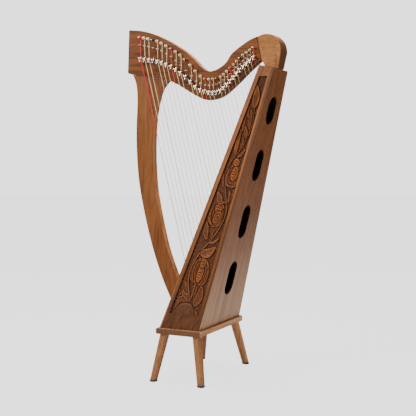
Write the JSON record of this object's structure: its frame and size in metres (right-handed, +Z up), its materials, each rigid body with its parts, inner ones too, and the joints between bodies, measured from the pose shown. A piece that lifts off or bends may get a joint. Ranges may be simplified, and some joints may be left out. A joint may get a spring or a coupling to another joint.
{
  "type": "celtic harp",
  "caption": "Floor-standing lever harp: slanted tapering soundbox with hand holes, curved neck, bowed pillar, gut strings with sharping levers, on a low four-legged stand",
  "frame": {"origin": "on the floor, under the middle of the harp's outline", "axes": "+X from the pillar towards the back of the soundbox, +Y towards the harp's right side (strings and levers are on the -Y side of the neck), +Z up"},
  "size_m": [0.5443, 0.3582, 1.1088],
  "materials": {
    "walnut": "satin oiled walnut, fine brown figure",
    "walnut_dark": "satin dark walnut",
    "walnut_light": "satin light walnut",
    "spruce": "bare planed softwood",
    "steel": "plain zinc-plated steel",
    "nickel": "polished nickel plate",
    "string": "clear nylon and gut, red and blue-black marker strings",
    "rubber": "matt black rubber"
  },
  "bodies": {
    "harp": {"stand_plate": "walnut", "left_side_panel": "walnut", "right_side_panel": "walnut", "soundboard": "walnut", "back_panel": "walnut_dark", "base_board": "walnut_dark", "top_block": "walnut", "lining_left": "spruce", "lining_right": "spruce", "string_rib": "walnut_dark", "inner_rib": "spruce", "neck": "walnut", "shoulder_block": "walnut_light", "pillar": "walnut", "pillar_bolt": "steel", "strings": "string", "tuning_pins": "nickel", "bridge_pins": "nickel", "lever_brackets": "nickel", "leg_front_left": "walnut_light", "foot_pad_front_left": "rubber", "leg_bolt_front_left": "steel", "leg_front_right": "walnut_light", "foot_pad_front_right": "rubber", "leg_bolt_front_right": "steel", "leg_back_left": "walnut_light", "foot_pad_back_left": "rubber", "leg_bolt_back_left": "steel", "leg_back_right": "walnut_light", "foot_pad_back_right": "rubber", "leg_bolt_back_right": "steel"},
    "lever_01_body": {"lever_01": "nickel"},
    "lever_02_body": {"lever_02": "nickel"},
    "lever_03_body": {"lever_03": "nickel"},
    "lever_04_body": {"lever_04": "nickel"},
    "lever_05_body": {"lever_05": "nickel"},
    "lever_06_body": {"lever_06": "nickel"},
    "lever_07_body": {"lever_07": "nickel"},
    "lever_08_body": {"lever_08": "nickel"},
    "lever_09_body": {"lever_09": "nickel"},
    "lever_10_body": {"lever_10": "nickel"},
    "lever_11_body": {"lever_11": "nickel"},
    "lever_12_body": {"lever_12": "nickel"},
    "lever_13_body": {"lever_13": "nickel"},
    "lever_14_body": {"lever_14": "nickel"},
    "lever_15_body": {"lever_15": "nickel"},
    "lever_16_body": {"lever_16": "nickel"},
    "lever_17_body": {"lever_17": "nickel"},
    "lever_18_body": {"lever_18": "nickel"},
    "lever_19_body": {"lever_19": "nickel"},
    "lever_20_body": {"lever_20": "nickel"},
    "lever_21_body": {"lever_21": "nickel"},
    "lever_22_body": {"lever_22": "nickel"},
    "lever_23_body": {"lever_23": "nickel"},
    "lever_24_body": {"lever_24": "nickel"},
    "lever_25_body": {"lever_25": "nickel"},
    "lever_26_body": {"lever_26": "nickel"},
    "lever_27_body": {"lever_27": "nickel"},
    "lever_28_body": {"lever_28": "nickel"},
    "lever_29_body": {"lever_29": "nickel"}
  },
  "joints": [
    {"name": "lever_01_hinge", "type": "hinge", "parent": "harp", "child": "lever_01_body", "pos_m": [-0.21736, -0.0265, 1.01162], "axis": [-0.9744, 0, -0.225], "range_deg": [0, 110]},
    {"name": "lever_02_hinge", "type": "hinge", "parent": "harp", "child": "lever_02_body", "pos_m": [-0.20131, -0.0265, 1.00934], "axis": [-0.9745, 0, -0.2243], "range_deg": [0, 110]},
    {"name": "lever_03_hinge", "type": "hinge", "parent": "harp", "child": "lever_03_body", "pos_m": [-0.18538, -0.0265, 1.00713], "axis": [-0.9746, 0, -0.2237], "range_deg": [0, 110]},
    {"name": "lever_04_hinge", "type": "hinge", "parent": "harp", "child": "lever_04_body", "pos_m": [-0.16948, -0.0265, 1.00455], "axis": [-0.9748, 0, -0.2231], "range_deg": [0, 110]},
    {"name": "lever_05_hinge", "type": "hinge", "parent": "harp", "child": "lever_05_body", "pos_m": [-0.15351, -0.0265, 1.00118], "axis": [-0.9749, 0, -0.2225], "range_deg": [0, 110]},
    {"name": "lever_06_hinge", "type": "hinge", "parent": "harp", "child": "lever_06_body", "pos_m": [-0.13735, -0.0265, 0.99649], "axis": [-0.9751, 0, -0.2219], "range_deg": [0, 110]},
    {"name": "lever_07_hinge", "type": "hinge", "parent": "harp", "child": "lever_07_body", "pos_m": [-0.12093, -0.0265, 0.99014], "axis": [-0.9752, 0, -0.2213], "range_deg": [0, 110]},
    {"name": "lever_08_hinge", "type": "hinge", "parent": "harp", "child": "lever_08_body", "pos_m": [-0.10425, -0.0265, 0.98216], "axis": [-0.9753, 0, -0.2207], "range_deg": [0, 110]},
    {"name": "lever_09_hinge", "type": "hinge", "parent": "harp", "child": "lever_09_body", "pos_m": [-0.0873, -0.0265, 0.97247], "axis": [-0.9755, 0, -0.2201], "range_deg": [0, 110]},
    {"name": "lever_10_hinge", "type": "hinge", "parent": "harp", "child": "lever_10_body", "pos_m": [-0.07, -0.0265, 0.96066], "axis": [-0.9756, 0, -0.2195], "range_deg": [0, 110]},
    {"name": "lever_11_hinge", "type": "hinge", "parent": "harp", "child": "lever_11_body", "pos_m": [-0.05252, -0.0265, 0.94752], "axis": [-0.9758, 0, -0.2189], "range_deg": [0, 110]},
    {"name": "lever_12_hinge", "type": "hinge", "parent": "harp", "child": "lever_12_body", "pos_m": [-0.03452, -0.0265, 0.9315], "axis": [-0.9759, 0, -0.2183], "range_deg": [0, 110]},
    {"name": "lever_13_hinge", "type": "hinge", "parent": "harp", "child": "lever_13_body", "pos_m": [-0.01646, -0.0265, 0.91467], "axis": [-0.976, 0, -0.2177], "range_deg": [0, 110]},
    {"name": "lever_14_hinge", "type": "hinge", "parent": "harp", "child": "lever_14_body", "pos_m": [-0.00008, -0.0265, 0.90477], "axis": [-0.9762, 0, -0.217], "range_deg": [0, 110]},
    {"name": "lever_15_hinge", "type": "hinge", "parent": "harp", "child": "lever_15_body", "pos_m": [0.0152, -0.0265, 0.89936], "axis": [-0.9763, 0, -0.2164], "range_deg": [0, 110]},
    {"name": "lever_16_hinge", "type": "hinge", "parent": "harp", "child": "lever_16_body", "pos_m": [0.02994, -0.0265, 0.89585], "axis": [-0.9764, 0, -0.2158], "range_deg": [0, 110]},
    {"name": "lever_17_hinge", "type": "hinge", "parent": "harp", "child": "lever_17_body", "pos_m": [0.04409, -0.0265, 0.89453], "axis": [-0.9766, 0, -0.2152], "range_deg": [0, 110]},
    {"name": "lever_18_hinge", "type": "hinge", "parent": "harp", "child": "lever_18_body", "pos_m": [0.05769, -0.0265, 0.89522], "axis": [-0.9767, 0, -0.2146], "range_deg": [0, 110]},
    {"name": "lever_19_hinge", "type": "hinge", "parent": "harp", "child": "lever_19_body", "pos_m": [0.07027, -0.0265, 0.90011], "axis": [-0.9768, 0, -0.214], "range_deg": [0, 110]},
    {"name": "lever_20_hinge", "type": "hinge", "parent": "harp", "child": "lever_20_body", "pos_m": [0.08195, -0.0265, 0.90867], "axis": [-0.977, 0, -0.2134], "range_deg": [0, 110]},
    {"name": "lever_21_hinge", "type": "hinge", "parent": "harp", "child": "lever_21_body", "pos_m": [0.09326, -0.0265, 0.91851], "axis": [-0.9771, 0, -0.2128], "range_deg": [0, 110]},
    {"name": "lever_22_hinge", "type": "hinge", "parent": "harp", "child": "lever_22_body", "pos_m": [0.1044, -0.0265, 0.92874], "axis": [-0.9772, 0, -0.2122], "range_deg": [0, 110]},
    {"name": "lever_23_hinge", "type": "hinge", "parent": "harp", "child": "lever_23_body", "pos_m": [0.11536, -0.0265, 0.93935], "axis": [-0.9774, 0, -0.2116], "range_deg": [0, 110]},
    {"name": "lever_24_hinge", "type": "hinge", "parent": "harp", "child": "lever_24_body", "pos_m": [0.12607, -0.0265, 0.95071], "axis": [-0.9775, 0, -0.211], "range_deg": [0, 110]},
    {"name": "lever_25_hinge", "type": "hinge", "parent": "harp", "child": "lever_25_body", "pos_m": [0.13688, -0.0265, 0.96123], "axis": [-0.9776, 0, -0.2104], "range_deg": [0, 110]},
    {"name": "lever_26_hinge", "type": "hinge", "parent": "harp", "child": "lever_26_body", "pos_m": [0.14788, -0.0265, 0.97045], "axis": [-0.9778, 0, -0.2097], "range_deg": [0, 110]},
    {"name": "lever_27_hinge", "type": "hinge", "parent": "harp", "child": "lever_27_body", "pos_m": [0.1589, -0.0265, 0.97913], "axis": [-0.9779, 0, -0.2091], "range_deg": [0, 110]},
    {"name": "lever_28_hinge", "type": "hinge", "parent": "harp", "child": "lever_28_body", "pos_m": [0.16987, -0.0265, 0.98759], "axis": [-0.978, 0, -0.2085], "range_deg": [0, 110]},
    {"name": "lever_29_hinge", "type": "hinge", "parent": "harp", "child": "lever_29_body", "pos_m": [0.18078, -0.0265, 0.99597], "axis": [-0.9781, 0, -0.2079], "range_deg": [0, 110]}
  ]
}
